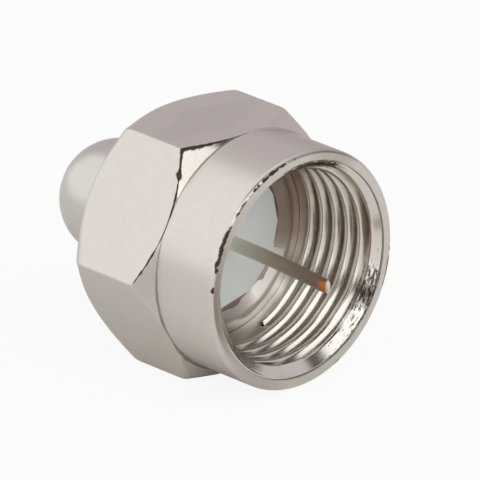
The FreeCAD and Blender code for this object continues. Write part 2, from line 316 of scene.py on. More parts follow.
def hexagon_radius(angle):
    """Distance from the axis to the hexagon, whose corners are slightly rounded."""
    off_corner = abs((angle + math.pi / 6) % (math.pi / 3) - math.pi / 6)
    straight = flat_radius / math.cos(math.pi / 6 - off_corner)
    centre = (flat_radius - hexagon_corner_round) / math.cos(math.pi / 6)
    reach = hexagon_corner_round ** 2 - (centre * math.sin(off_corner)) ** 2
    if reach <= 0:
        return straight
    return min(straight, centre * math.cos(off_corner) + math.sqrt(reach))


def round_corners(corners):
    """Replace each (radius, depth, rounding) corner by a short arc, or by one point where it stays sharp."""
    points = []
    count = len(corners)
    for index, (r, y, rounding) in enumerate(corners):
        if rounding == 0:
            points.append((r, y))
            continue
        here = np.array((r, y))
        before = np.array(corners[index - 1][:2]) - here
        after = np.array(corners[(index + 1) % count][:2]) - here
        span_before = np.linalg.norm(before)
        span_after = np.linalg.norm(after)
        reach = min(rounding, span_before * round_share, span_after * round_share)
        start = here + before / span_before * reach
        end = here + after / span_after * reach
        for step in range(arc_points):
            t = step / (arc_points - 1)
            points.append(tuple((1 - t) ** 2 * start + 2 * t * (1 - t) * here + t * t * end))
    return points


def bore_radius(depth):
    """The bored wall before threading: a lead-in cone, then the plain bore that the crests are left from."""
    return max(crest_radius, lead_in_radius - depth)


def corner_wear(angle):
    """From 0 to 1, how near this angle is to one of the two most worn corners."""
    off_corner = abs((math.degrees(angle) - worn_corner + 90) % 180 - 90)
    return max(0.0, 1 - off_corner / worn_corner_reach)


def nut_column(angle):
    """The nut's section at one angle, from the rim round to the bore.

    Each point is (radius, depth, gap to the rim's edge, gap to the hexagon's front edge, thread, cone).
    Thread marks the wall to be threaded, and cone marks the chamfer between collar and hexagon.
    """
    across = hexagon_radius(angle)
    front = collar_length + (across - collar_radius) * math.tan(front_cone)
    rear = nut_length - (across - rear_face_radius) * math.tan(rear_cone)
    corners = [
        (lead_in_radius, 0.0, lead_in_round),
        (collar_radius, 0.0, rim_edge_round),
        (collar_radius, collar_length, seam_round),
        (across, front, front_corner_round + front_corner_wear * corner_wear(angle)),
        (across, rear, rear_corner_round + rear_corner_wear * corner_wear(angle)),
        (rear_face_radius, nut_length, rear_edge_round),
        (nut_hole_radius, nut_length, hole_edge_round),
        (nut_hole_radius, ring_groove_back, 0),
        (ring_groove_radius, ring_groove_back, 0),
        (ring_groove_radius, ring_groove_front, 0),
        (nut_hole_radius, ring_groove_front, 0),
        (nut_hole_radius, shoulder_depth, shoulder_edge_round),
        (crest_radius, shoulder_depth, shoulder_corner_round),
        (crest_radius, threaded_depth, 0),
    ]
    points = round_corners(corners)
    column = []
    for index, (r, y) in enumerate(points):
        rim_gap = math.hypot(r - rim_wear_radius, y)
        front_gap = math.hypot(r - across, y - front)
        # The cone runs from the third corner's rounding to the fourth's.
        on_cone = 1.0 if 2 * arc_points < index <= 3 * arc_points else 0.0
        column.append((r, y, rim_gap * MM, front_gap * MM, 0.0, on_cone))
    shift = thread_pitch * angle / (2 * math.pi)
    row_step = thread_pitch / thread_rows_per_pitch
    rows = int(threaded_depth / row_step) + thread_rows_per_pitch
    for row in range(rows, 0, -1):
        y = min(max(row * row_step - shift, lead_in_round), threaded_depth)
        column.append((bore_radius(y), y, bore_rim_gap * MM, bore_front_gap * MM, 1.0, 0.0))
    return column


def wrap_columns(name, angles, columns, attributes):
    """Close a set of section loops, one per angle, into a ring-shaped mesh round the Y axis.

    What a point holds after its radius and depth goes to the named attributes.
    """
    rows = len(columns[0])
    vertices = []
    for angle, column in zip(angles, columns):
        for point in column:
            x = point[0] * math.cos(angle) * MM
            z = point[0] * math.sin(angle) * MM
            vertices.append((x, point[1] * MM, z))
    faces = []
    for c in range(len(columns) - 1):
        for r in range(rows):
            s = (r + 1) % rows
            faces.append((c * rows + r, c * rows + s, (c + 1) * rows + s, (c + 1) * rows + r))
    mesh = bpy.data.meshes.new(name)
    mesh.from_pydata(vertices, [], faces)
    for place, attribute in enumerate(attributes, start=2):
        layer = mesh.attributes.new(attribute, "FLOAT", "POINT")
        layer.data.foreach_set("value", [point[place] for column in columns for point in column])
    return mesh


def close_mesh(mesh, sharp_angle):
    """Merge what coincides, turn every face outwards and shade smooth between sharp edges."""
    shaped = bmesh.new()
    shaped.from_mesh(mesh)
    bmesh.ops.remove_doubles(shaped, verts=shaped.verts, dist=merge_distance * MM)
    bmesh.ops.dissolve_degenerate(shaped, edges=shaped.edges, dist=sliver_length * MM)
    bmesh.ops.recalc_face_normals(shaped, faces=shaped.faces)
    shaped.to_mesh(mesh)
    shaped.free()
    mesh.shade_smooth()
    mesh.set_sharp_from_angle(angle=math.radians(sharp_angle))
    return mesh


sector = column_steps[:-1] + [60 - step for step in reversed(column_steps)][:-1]
nut_angles = [math.radians(60 * k + step) for k in range(6) for step in sector] + [2 * math.pi]
nut_mesh = wrap_columns("coupling_nut_body", nut_angles, [nut_column(a) for a in nut_angles],
                        ["rim_gap", "front_gap", "thread", "cone"])
close_mesh(nut_mesh, nut_sharp_angle)


def parts_of(tree, place):
    return add_node(tree, "ShaderNodeSeparateXYZ", inputs={0: place}).outputs


def group_of(name, kind, inputs, outputs):
    """A node group with its sockets, what gives its inputs inside, and the node that takes its outputs."""
    tree = bpy.data.node_groups.new(name, kind)
    for in_out, sockets in (("INPUT", inputs), ("OUTPUT", outputs)):
        for socket in sockets:
            tree.interface.new_socket(
                socket, in_out=in_out, socket_type=socket_kinds.get(socket, "NodeSocketFloat"))
    return tree, add_node(tree, "NodeGroupInput").outputs, add_node(tree, "NodeGroupOutput")


def thread_tree():
    """Geometry nodes that cut a right-hand V groove into the wall that the thread attribute marks.

    The groove attribute then says how deep the cut is, as a share of the full cut.
    """
    tree, given, output = group_of("cut_thread", "GeometryNodeTree", [
        "Geometry", "Pitch", "Run up", "Turns", "Runout", "Groove radius", "Root flat", "Flank slope",
        "Crest rounding", "Material"], ["Geometry"])

    def calculate(operation, *values):
        return number(tree, operation, *values)

    place = parts_of(tree, add_node(tree, "GeometryNodeInputPosition").outputs[0])
    angle = calculate("ARCTAN2", place["Z"], place["X"])
    radius = calculate("SQRT", calculate("ADD", product(tree, place["X"], place["X"]),
                                         product(tree, place["Z"], place["Z"])))
    advance = product(tree, calculate("DIVIDE", angle, 2 * math.pi), given["Pitch"])
    along = calculate("ADD", calculate("ADD", place["Y"], given["Run up"]), advance)
    turns = calculate("DIVIDE", along, given["Pitch"])
    nearest = calculate("ROUND", turns)
    off_centre = product(tree, calculate("ABSOLUTE", calculate("SUBTRACT", turns, nearest)), given["Pitch"])
    travelled = calculate("SUBTRACT", nearest, calculate("DIVIDE", angle, 2 * math.pi))
    past_end = calculate("MAXIMUM", calculate("DIVIDE", calculate(
        "SUBTRACT", travelled, given["Turns"]), given["Runout"]), 0.0)
    half_flat = product(tree, given["Root flat"], 0.5)
    off_flat = calculate("MAXIMUM", calculate("SUBTRACT", off_centre, half_flat), 0.0)
    flank = product(tree, off_flat, given["Flank slope"])
    full_groove = calculate("SUBTRACT", given["Groove radius"], flank)
    groove = calculate("SUBTRACT", full_groove, product(tree, past_end, given["Pitch"]))
    wall = calculate("SMOOTH_MAX", radius, groove, given["Crest rounding"])
    full_cut = product(tree, given["Pitch"], full_cut_share)
    cut_depth = calculate("DIVIDE", calculate("SUBTRACT", wall, radius), full_cut)
    moved = add_node(tree, "ShaderNodeCombineXYZ", inputs={
        "X": product(tree, wall, calculate("COSINE", angle)),
        "Y": place["Y"],
        "Z": product(tree, wall, calculate("SINE", angle))})
    marked = add_node(tree, "GeometryNodeInputNamedAttribute", {"data_type": "FLOAT"}, {"Name": "thread"})
    chosen = add_node(tree, "FunctionNodeCompare", {"data_type": "FLOAT", "operation": "GREATER_THAN"}, {
        "A": marked.outputs["Attribute"], "B": 0.5})
    stored = add_node(tree, "GeometryNodeStoreNamedAttribute", {"data_type": "FLOAT", "domain": "POINT"}, {
        "Geometry": given["Geometry"], "Name": "groove",
        "Value": product(tree, cut_depth, marked.outputs["Attribute"])})
    cut = add_node(tree, "GeometryNodeSetPosition", inputs={
        "Geometry": stored.outputs["Geometry"], "Selection": chosen.outputs["Result"],
        "Position": moved.outputs[0]})
    realized = add_node(tree, "GeometryNodeRealizeInstances", inputs={"Geometry": cut.outputs["Geometry"]})
    finished = add_node(tree, "GeometryNodeSetMaterial", inputs={
        "Geometry": realized.outputs["Geometry"], "Material": given["Material"]})
    tree.links.new(finished.outputs["Geometry"], output.inputs["Geometry"])
    return tree


def apply_tree(piece, tree, values):
    """Run a geometry node tree on a piece, keep the result as its plain mesh and take the tree off."""
    modifier = piece.modifiers.new(tree.name, "NODES")
    modifier.node_group = tree
    for item in tree.interface.items_tree:
        if item.in_out == "INPUT" and item.name in values:
            modifier[item.identifier] = values[item.name]
    bpy.context.view_layer.update()
    evaluated = piece.evaluated_get(bpy.context.evaluated_depsgraph_get())
    result = bpy.data.meshes.new_from_object(evaluated)
    piece.modifiers.remove(modifier)
    result.name = piece.name
    piece.data = result
    return piece


def use_group(tree, group, inputs):
    return add_node(tree, "ShaderNodeGroup", {"node_tree": group}, inputs).outputs


def attribute_of(tree, name):
    return add_node(tree, "ShaderNodeAttribute", {"attribute_name": name}).outputs["Fac"]


def noise(tree, place, scale, detail, roughness=0.5):
    return add_node(tree, "ShaderNodeTexNoise", inputs={
        "Vector": place, "Scale": scale, "Detail": detail, "Roughness": roughness}).outputs["Fac"]


def flat_noise(tree, across, along, scale, detail, roughness=0.5):
    """Noise over a plane that two sockets span."""
    place = add_node(tree, "ShaderNodeCombineXYZ", inputs={"X": across, "Y": along}).outputs[0]
    return add_node(tree, "ShaderNodeTexNoise", {"noise_dimensions": "2D"}, {
        "Vector": place, "Scale": scale, "Detail": detail, "Roughness": roughness}).outputs["Fac"]


def remap(tree, value, start, end, low, high, kind="SMOOTHSTEP"):
    """Turn start into low and end into high, and hold both beyond."""
    return add_node(tree, "ShaderNodeMapRange", {"interpolation_type": kind}, {
        "Value": value, "From Min": start, "From Max": end, "To Min": low, "To Max": high}).outputs[0]


def blend(tree, share, base, over):
    """Pass from one value to another by a mask."""
    return add_node(tree, "ShaderNodeMix", {"data_type": "FLOAT"}, {
        "Factor": share, "A": base, "B": over}).outputs["Result"]


def tint(tree, share, base, over):
    """Lay one colour over another by a mask. Either colour is a value or a socket."""
    node = add_node(tree, "ShaderNodeMix", {"data_type": "RGBA"})
    colour_inputs = [socket for socket in node.inputs if socket.type == "RGBA"]
    tree.links.new(share, node.inputs["Factor"])
    for socket, colour in zip(colour_inputs, (base, over)):
        if isinstance(colour, bpy.types.NodeSocket):
            tree.links.new(colour, socket)
        else:
            socket.default_value = colour
    return next(socket for socket in node.outputs if socket.type == "RGBA")


def gap_from(tree, value, size):
    """How far a length is from a size in millimetres, either way."""
    return number(tree, "ABSOLUTE", number(tree, "SUBTRACT", value, size * MM))


def turn_share(tree, place):
    """The angle round the Y axis from +X towards +Z, as a share of a full turn."""
    apart = parts_of(tree, place)
    turns = number(tree, "DIVIDE", number(tree, "ARCTAN2", apart["Z"], apart["X"]), 2 * math.pi)
    return number(tree, "FRACT", turns)


def axis_distance(tree, place):
    apart = parts_of(tree, place)
    across = add_node(tree, "ShaderNodeCombineXYZ", inputs={"X": apart["X"], "Y": apart["Z"]}).outputs[0]
    return add_node(tree, "ShaderNodeVectorMath", {"operation": "LENGTH"}, {0: across}).outputs["Value"]


def by_angle(tree, share, stops):
    """A value from 0 to 1 that goes through (degrees, value) stops round the part."""
    ramp = add_node(tree, "ShaderNodeValToRGB", inputs={0: share})
    elements = ramp.color_ramp.elements
    while len(elements) < len(stops):
        elements.new(0.5)
    for element, (degrees, value) in zip(elements, stops):
        element.position = degrees / 360
        element.color = (value, value, value, 1)
    return ramp.outputs["Color"]


def satin_grain_group():
    """Plate grain: a fine mottle for colour and height, and lathe lines that run round the Y axis."""
    tree, given, output = group_of("satin_grain", "ShaderNodeTree", [
        "Place", "Grain scale", "Line scale", "Line share"], ["Mottle", "Height"])
    place = given["Place"]
    fineness = 5.0
    mottle = noise(tree, place, given["Grain scale"], detail=4.0, roughness=0.62)
    grain = noise(tree, place, product(tree, given["Grain scale"], fineness), detail=2.0)
    depth = parts_of(tree, place)["Y"]
    lines = flat_noise(tree, axis_distance(tree, place), depth, given["Line scale"], detail=2.0)
    tree.links.new(mottle, output.inputs["Mottle"])
    tree.links.new(blend(tree, given["Line share"], grain, lines), output.inputs["Height"])
    return tree


def edge_mark_group_builder():
    """Where plate is worn off, dirt sits or shade is painted in a seam: near an edge, out to a ragged width.
    """
    solid_share = 0.55
    blur = 0.01 * MM
    tree, given, output = group_of("edge_marks", "ShaderNodeTree", [
        "Place", "Gap", "Width", "Ragged scale", "Raggedness"], ["Mask"])
    ragged = noise(tree, given["Place"], given["Ragged scale"], detail=3.0)
    spread = number(tree, "MULTIPLY_ADD", number(tree, "SUBTRACT", ragged, 0.5), given["Raggedness"], 1.0)
    reach = product(tree, spread, given["Width"])
    mask = remap(tree, given["Gap"], product(tree, reach, solid_share),
                 number(tree, "ADD", reach, blur), 1.0, 0.0)
    tree.links.new(mask, output.inputs["Mask"])
    return tree


satin_grain = satin_grain_group()
edge_marks = edge_mark_group_builder()
grain_scale = 3200.0
lathe_line_scale = 9000.0
roughness_spread = 0.2


def satin_metal(name, colour, shadow, roughness, line_share, bump=0.35):
    """Satin metal up to its surface shader, whose colour and roughness may still be changed."""
    material, tree, output = new_material(name)
    place = add_node(tree, "ShaderNodeTexCoord").outputs["Object"]
    grain = use_group(tree, satin_grain, {
        "Place": place, "Grain scale": grain_scale, "Line scale": lathe_line_scale,
        "Line share": line_share})
    roughest = roughness * (1 + roughness_spread)
    smoothest = roughness * (1 - roughness_spread)
    mottled = remap(tree, grain["Mottle"], 0.0, 1.0, roughest, smoothest, "LINEAR")
    relief = add_node(tree, "ShaderNodeBump", inputs={
        "Strength": bump, "Distance": 0.004 * MM, "Height": grain["Height"]})
    surface = add_node(tree, "ShaderNodeBsdfPrincipled", inputs={
        "Base Color": tint(tree, grain["Mottle"], (*shadow, 1), (*colour, 1)), "Metallic": 1.0,
        "Roughness": mottled, "Normal": relief.outputs[0]})
    tree.links.new(surface.outputs[0], output.inputs["Surface"])
    return material, tree, place, surface


def fed_by(surface, key):
    """The socket that feeds an input of a surface shader."""
    return surface.inputs[key].links[0].from_socket


nut_material, nut_tree, nut_place, nut_surface = satin_metal(
    "nut_plating", colour=(0.775, 0.735, 0.68), shadow=(0.70, 0.655, 0.60), roughness=0.31, line_share=0.35)
# Dark lines of wear and dirt on the edges, and painted shade in the seam behind the collar.
wear_and_shade_colour = (0.085, 0.06, 0.048, 1)
stain_colour = (0.10, 0.062, 0.045, 1)
# Smears on the chamfer, and painted shade on the collar's upper and lower sides.
smear_and_shade_colour = (0.40, 0.32, 0.28, 1)
# Tarnish, and painted shade deep in the bore and on the flange.
tarnish_and_shade_colour = (0.36, 0.28, 0.21, 1)
bore_colour = (0.87, 0.83, 0.775, 1)
bore_roughness = 0.17
cone_roughness = 0.14
edge_mark_limit = 0.22
# Round the part, in degrees from +X towards +Z. The first four are widths along the rim, the hexagon's
# front edge, the seam behind the collar and the lead-in's edge, as shares of the width limit above: wear and
# dirt on the edges, and painted shade in the seam behind the collar.
rim_wear = [(0, 0.0), (52, 0.0), (96, 0.2), (106, 0.42), (118, 0.42), (124, 0.22), (136, 0.3), (139, 0.0),
            (142, 0.35), (150, 0.6), (163, 0.55), (165, 0.0), (170, 0.0), (172.5, 0.6), (175, 0.0),
            (285, 0.0), (292, 0.35), (298, 0.0), (330, 0.1), (345, 0.4), (357, 0.15)]
front_wear = [(0, 0.0), (88, 0.0), (95, 0.12), (106, 0.4), (118, 0.85), (122, 0.4), (127, 0.3),
              (129.5, 0.95), (132, 0.25), (142, 0.35), (150, 0.1), (160, 0.12), (166, 0.3), (177, 0.26),
              (181, 0.0), (359, 0.0)]
# Painted shade in the seam behind the collar.
seam_shade = [(0, 0.0), (92, 0.0), (100, 0.12), (128, 0.12), (150, 0.0), (168, 0.05), (185, 0.2),
             (212, 0.25), (228, 0.4), (240, 0.3), (246, 0.0)]
lead_in_line = [(0, 0.16), (45, 0.12), (62, 0.0), (250, 0.0), (262, 0.16), (300, 0.2), (330, 0.2)]
# The others are strengths: tarnish and painted shade in the bore, streaks on the lead-in, smears on the
# chamfer, and painted shade on the collar's upper and lower sides.
bore_tarnish_and_shade = [(0, 0.75), (45, 0.85), (66, 0.6), (82, 0.1), (180, 0.05), (262, 0.5), (284, 0.35),
                (298, 0.06), (315, 0.06), (336, 0.3), (350, 0.6)]
lead_in_stain = [(0, 0.0), (56, 0.05), (64, 0.8), (84, 0.95), (96, 0.75), (108, 0.1), (250, 0.0),
                 (290, 0.2), (312, 0.4), (328, 0.6), (340, 0.7), (349, 0.1)]
cone_smear = [(0, 0.0), (157, 0.0), (163, 0.36), (178, 0.32), (195, 0.16), (222, 0.05), (240, 0.0)]
# Painted shade on the collar's upper and lower sides.
collar_side_shade = [(0, 0.0), (48, 0.0), (60, 0.5), (74, 0.4), (88, 0.0), (205, 0.0), (226, 0.35), (242, 0.35),
                (260, 0.0)]
bore_limit_radius = 4.955
lead_limit_radius = 5.02
lead_limit_depth = 0.6
lead_line_depth = 0.2
# The bore's tarnish and painted shade grow with depth from the clean share to the deep share, and more so
# in the grooves. The growth with depth is painted shade.
clean_depth = 3.3
deep_depth = 3.9
clean_share = 0.06
deep_share = 0.36
groove_power = 1.7
groove_gain = 1.3
groove_floor = 0.35
patch_gain = 1.6
patch_floor = 0.2
# The streaks' fineness round and across the lead-in, and the band of their noise that shows.
streaks_per_turn = 75.0
streaks_per_metre = 12000.0
streak_gain = 0.35
streak_band = (0.66, 0.76)
streak_strength = 0.95
seam_offset = 0.03
# How dark the dirt at the lead-in's edge and the painted shade in the seam behind the collar are.
dirt_and_shade_strength = 0.6
wear_roughness = 0.3

nut_angle = turn_share(nut_tree, nut_place)
nut_radius = axis_distance(nut_tree, nut_place)
nut_depth = parts_of(nut_tree, nut_place)["Y"]


def round_nut(stops):
    return by_angle(nut_tree, nut_angle, stops)


def nut_line(gap, stops, ragged_scale, raggedness):
    """Wear and dirt, or painted shade in the seam, along an edge of the nut, as wide as its stops say."""
    width = product(nut_tree, round_nut(stops), edge_mark_limit * MM)
    return use_group(nut_tree, edge_marks, {
        "Place": nut_place, "Gap": gap, "Width": width, "Ragged scale": ragged_scale,
        "Raggedness": raggedness})["Mask"]


in_bore = number(nut_tree, "LESS_THAN", nut_radius, bore_limit_radius * MM)
on_cone = attribute_of(nut_tree, "cone")
on_collar = product(nut_tree, number(nut_tree, "GREATER_THAN", nut_radius, lead_in_radius * MM),
                    number(nut_tree, "LESS_THAN", nut_depth, collar_length * MM))
near_lead = product(nut_tree, number(nut_tree, "LESS_THAN", nut_radius, lead_limit_radius * MM),
                    number(nut_tree, "LESS_THAN", nut_depth, lead_limit_depth * MM))

# Tarnish and painted shade in the thread grooves.
groove_tarnish_and_shade = number(nut_tree, "POWER", attribute_of(nut_tree, "groove"), groove_power)
# Painted shade: the bore's wall grows darker with depth.
deep_bore_shade = remap(nut_tree, nut_depth, clean_depth * MM, deep_depth * MM, clean_share, deep_share)
# Tarnish and painted shade round the bore, strongest on its right side.
bore_shade_and_tarnish = product(nut_tree, round_nut(bore_tarnish_and_shade),
                     number(nut_tree, "MULTIPLY_ADD", groove_tarnish_and_shade, groove_gain, deep_bore_shade))
bore_shade_and_tarnish = number(nut_tree, "MULTIPLY_ADD", groove_tarnish_and_shade, groove_floor, bore_shade_and_tarnish)
bore_noise = noise(nut_tree, nut_place, scale=1100.0, detail=5.0, roughness=0.65)
bore_patches = number(nut_tree, "MULTIPLY_ADD", bore_noise, patch_gain, patch_floor)
tarnish_and_shade_share = product(nut_tree, product(nut_tree, bore_shade_and_tarnish, in_bore), bore_patches)

streaks = flat_noise(nut_tree, product(nut_tree, nut_angle, streaks_per_turn),
                     product(nut_tree, nut_radius, streaks_per_metre),
                     scale=1.0, detail=5.0, roughness=0.75)
streaks = number(nut_tree, "MULTIPLY_ADD", round_nut(lead_in_stain), streak_gain, streaks)
streaks = remap(nut_tree, streaks, *streak_band, 0.0, streak_strength)
lead_share = product(nut_tree, streaks, near_lead)
# Painted shade on the collar, and smears on the chamfer.
smear_and_collar_shade = product(nut_tree, round_nut(collar_side_shade), on_collar)
smear_and_collar_shade = number(nut_tree, "MULTIPLY_ADD", round_nut(cone_smear), on_cone, smear_and_collar_shade)

rim_mask = nut_line(attribute_of(nut_tree, "rim_gap"), rim_wear, ragged_scale=4500.0, raggedness=3.2)
front_mask = nut_line(attribute_of(nut_tree, "front_gap"), front_wear, ragged_scale=3000.0, raggedness=2.6)
lead_gap = gap_from(nut_tree, nut_radius, lead_in_radius)
lead_mask = nut_line(lead_gap, lead_in_line, ragged_scale=1800.0, raggedness=1.6)
lead_edge = number(nut_tree, "LESS_THAN", nut_depth, lead_line_depth * MM)
lead_mask = product(nut_tree, lead_mask, lead_edge)
# Painted shade along the seam where the collar meets the chamfer.
seam_gap = gap_from(nut_tree, nut_depth, collar_length + seam_offset)
seam_shade_mask = nut_line(seam_gap, seam_shade, ragged_scale=1800.0, raggedness=1.6)
seam_shade_mask = product(nut_tree, seam_shade_mask, number(nut_tree, "SUBTRACT", 1.0, in_bore))
# The lead-in's dirt and the seam's painted shade, then with the wear on the rim and the front edge.
dirt_and_seam_shade = product(nut_tree, number(nut_tree, "MAXIMUM", lead_mask, seam_shade_mask), dirt_and_shade_strength)
wear_and_seam_shade = number(nut_tree, "MAXIMUM", number(nut_tree, "MAXIMUM", rim_mask, front_mask), dirt_and_seam_shade)

nut_colour = tint(nut_tree, in_bore, fed_by(nut_surface, "Base Color"), bore_colour)
for share, colour in (
        (number(nut_tree, "MINIMUM", tarnish_and_shade_share, 1.0), tarnish_and_shade_colour),
        (lead_share, stain_colour),
        (smear_and_collar_shade, smear_and_shade_colour),
        (wear_and_seam_shade, wear_and_shade_colour)):
    nut_colour = tint(nut_tree, share, nut_colour, colour)
nut_tree.links.new(nut_colour, nut_surface.inputs["Base Color"])
nut_roughness = blend(nut_tree, on_cone, fed_by(nut_surface, "Roughness"), cone_roughness)
nut_roughness = blend(nut_tree, in_bore, nut_roughness, bore_roughness)
nut_roughness = number(nut_tree, "MULTIPLY_ADD", wear_and_seam_shade, wear_roughness, nut_roughness)
nut_tree.links.new(nut_roughness, nut_surface.inputs["Roughness"])

coupling_nut = make_object("coupling_nut_body", nut_mesh)
apply_tree(coupling_nut, thread_tree(), {
    "Pitch": thread_pitch * MM,
    "Run up": thread_run_up * MM,
    "Turns": thread_turns,
    "Runout": thread_runout,
    "Groove radius": (crest_radius + thread_depth) * MM,
    "Root flat": thread_root_flat * MM,
    "Flank slope": 1 / math.tan(thread_flank),
    "Crest rounding": crest_rounding * MM,
    "Material": nut_material,
})
coupling_nut.data.set_sharp_from_angle(angle=math.radians(nut_sharp_angle))
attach(coupling_nut, "nut")
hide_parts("coupling_nut")


# Shell
# One turned piece in plated brass: a flange in front, a tail with a ball end behind, and a blind bore
# for the load. The flange's lip is staked over the insulator by a punch of sixteen flats.
flange_depth = 4.7
flange_radius = 4.374
flange_edge_break = 0.012
flange_roll = 0.27
flange_flat_radius = 4.12
flange_shoulder_radius = 3.86
flange_edge_round = 0.05
flange_side_round = 0.04
roll_round = 0.1
lip_round = 0.05
# How far the roll has gone at its shoulder, as a share of flange_roll.
shoulder_roll_share = 0.1
pocket_radius = 3.74
insulator_front = 5.0
insulator_back = 5.9
flange_back = 6.5
tail_radius = 2.68
shell_groove_radius = 2.28
load_bore_radius = 1.6
load_bore_end = 12.3
drill_tip = 13.261
ball_centre = 11.601
stake_flats = 16
stake_front_radius = 3.37
stake_rear_radius = 3.3
ball_steps = 24
# Columns along one flat of the lip, as shares of it, closest at its ends.
flat_shares = (0, 0.03, 0.08, 0.15, 0.25, 0.375, 0.5, 0.625, 0.75, 0.85, 0.92, 0.97)
shell_sharp_angle = 25
# The punch's corners are never quite even. Each has its own turn, in degrees, and its own reach.
stake_turns = [-1.8, -1.2, 0.6, 1.1, -0.8, 0.9, -0.5, 1.2, 0.4, -1.1, 0.7, -0.9, -7.0, 6.5, 8.0, -0.7]
stake_reaches = [0.02, 0.0, 0.03, -0.02, 0.01, 0.03, -0.01, 0.02, 0.0, 0.03, 0.01, -0.02, 0.02, 0.03, -0.03,
                 0.02]
rounding_error = 1e-9


def stake_corners(radius):
    """The lip's corners as points across the axis, in order round it."""
    corners = []
    for index in range(stake_flats):
        angle = math.radians(index * 360 / stake_flats + stake_turns[index])
        reach = radius + stake_reaches[index]
        corners.append((reach * math.cos(angle), reach * math.sin(angle)))
    return corners


def lip_radius(corners, angle):
    """Distance from the axis to the flat that a ray at this angle meets."""
    ray = np.array((math.cos(angle), math.sin(angle)))
    for index, start in enumerate(corners):
        end = corners[(index + 1) % stake_flats]
        side = np.array(end) - start
        across = ray[0] * side[1] - ray[1] * side[0]
        along = (start[0] * side[1] - start[1] * side[0]) / across
        share = (start[0] * ray[1] - start[1] * ray[0]) / across
        if along > 0 and -rounding_error <= share <= 1:
            return along
    return stake_rear_radius


def shell_column(angle):
    """The shell's section at one angle, from the lip over the flange to the ball, and back inside."""
    front = lip_radius(front_corners, angle)
    rear = lip_radius(rear_corners, angle)
    corners = [
        (rear, insulator_front, 0),
        (front, flange_depth + flange_roll, lip_round),
        (flange_shoulder_radius, flange_depth + shoulder_roll_share * flange_roll, roll_round),
        (flange_flat_radius, flange_depth, roll_round),
        (flange_radius - flange_edge_break, flange_depth, flange_edge_round),
        (flange_radius, flange_depth + flange_edge_break, flange_side_round),
        (flange_radius, flange_back, flange_edge_round),
        (tail_radius, flange_back, 0),
        (tail_radius, ring_groove_front, 0),
        (shell_groove_radius, ring_groove_front, 0),
        (shell_groove_radius, ring_groove_back, 0),
        (tail_radius, ring_groove_back, 0),
        (tail_radius, ball_centre, 0),
    ]
    points = round_corners(corners)
    for step in range(1, ball_steps + 1):
        turn = math.pi / 2 * step / ball_steps
        points.append((tail_radius * math.cos(turn), ball_centre + tail_radius * math.sin(turn)))
    points += [
        (0.0, drill_tip),
        (load_bore_radius, load_bore_end),
        (load_bore_radius, insulator_back),
        (pocket_radius, insulator_back),
        (pocket_radius, insulator_front),
    ]
    return points


front_corners = stake_corners(stake_front_radius)
rear_corners = stake_corners(stake_rear_radius)
corner_angles = sorted(math.atan2(z, x) % (2 * math.pi) for x, z in rear_corners)
shell_angles = []
for index, start_angle in enumerate(corner_angles):
    end_angle = corner_angles[(index + 1) % stake_flats] + (2 * math.pi if index == stake_flats - 1 else 0)
    for share in flat_shares:
        shell_angles.append(start_angle + (end_angle - start_angle) * share)
shell_angles.append(corner_angles[0] + 2 * math.pi)
shell_mesh = wrap_columns("shell_body", shell_angles, [shell_column(a) for a in shell_angles], [])
close_mesh(shell_mesh, shell_sharp_angle)
shell_material, shell_tree, shell_place, shell_surface = satin_metal(
    "shell_plating", colour=(0.745, 0.715, 0.67), shadow=(0.68, 0.65, 0.605), roughness=0.32, line_share=0.5,
    bump=0.15)
# Round the part, like the nut's: how strong the tarnish and painted shade on the flange are, and how far the
# stain on the lip spreads.
flange_tarnish_and_shade = [(0, 0.9), (50, 0.9), (75, 0.1), (180, 0.1), (262, 0.3), (275, 0.1), (318, 0.0),
                  (335, 0.35), (350, 0.85)]
lip_stain = [(0, 0.25), (25, 0.4), (45, 0.2), (100, 0.2), (262, 0.55), (283, 0.6), (287, 0.0), (308, 0.0),
             (311, 0.7), (322, 0.7), (326, 0.05)]
lip_stain_colour = (0.19, 0.115, 0.08, 1)
lip_stain_start = 3.29
lip_stain_spread = 0.2
lip_stain_strength = 0.75
mouth_depth = 5.2
mouth_roughness = 0.3
shell_angle = turn_share(shell_tree, shell_place)
in_mouth = number(shell_tree, "LESS_THAN", parts_of(shell_tree, shell_place)["Y"], mouth_depth * MM)
# Tarnish and painted shade on the flange deep in the mouth, strongest on its right side.
mouth_share = product(shell_tree, in_mouth, by_angle(shell_tree, shell_angle, flange_tarnish_and_shade))
lip_patches = number(shell_tree, "ADD", noise(shell_tree, shell_place, scale=2400.0, detail=3.0), 0.5)
lip_reach = product(shell_tree, lip_patches, by_angle(shell_tree, shell_angle, lip_stain))
lip_limit = number(shell_tree, "MULTIPLY_ADD", lip_reach, lip_stain_spread * MM, lip_stain_start * MM)
on_lip = number(shell_tree, "LESS_THAN", axis_distance(shell_tree, shell_place), lip_limit)
lip_face = product(shell_tree, on_lip, in_mouth)
lip_share = product(shell_tree, lip_face, lip_stain_strength)
shell_colour = tint(shell_tree, mouth_share, fed_by(shell_surface, "Base Color"), tarnish_and_shade_colour)
shell_colour = tint(shell_tree, lip_share, shell_colour, lip_stain_colour)
shell_tree.links.new(shell_colour, shell_surface.inputs["Base Color"])
shell_roughness = blend(shell_tree, in_mouth, fed_by(shell_surface, "Roughness"), mouth_roughness)
shell_tree.links.new(shell_roughness, shell_surface.inputs["Roughness"])
shell = make_object("shell_body", shell_mesh, shell_material)
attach(shell, "terminator_core")
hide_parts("shell")


# Insulator
# A plain white plastic disc, punched from sheet and pressed against the floor of the flange's pocket.
# It is dull, with the faint cloudiness of polythene.
insulator_colour = (0.80, 0.83, 0.80)
insulator_shade = (0.74, 0.77, 0.74)
insulator_cloud = 0.9
pebbles_per_cloud = 14
insulator_roughness = 0.55


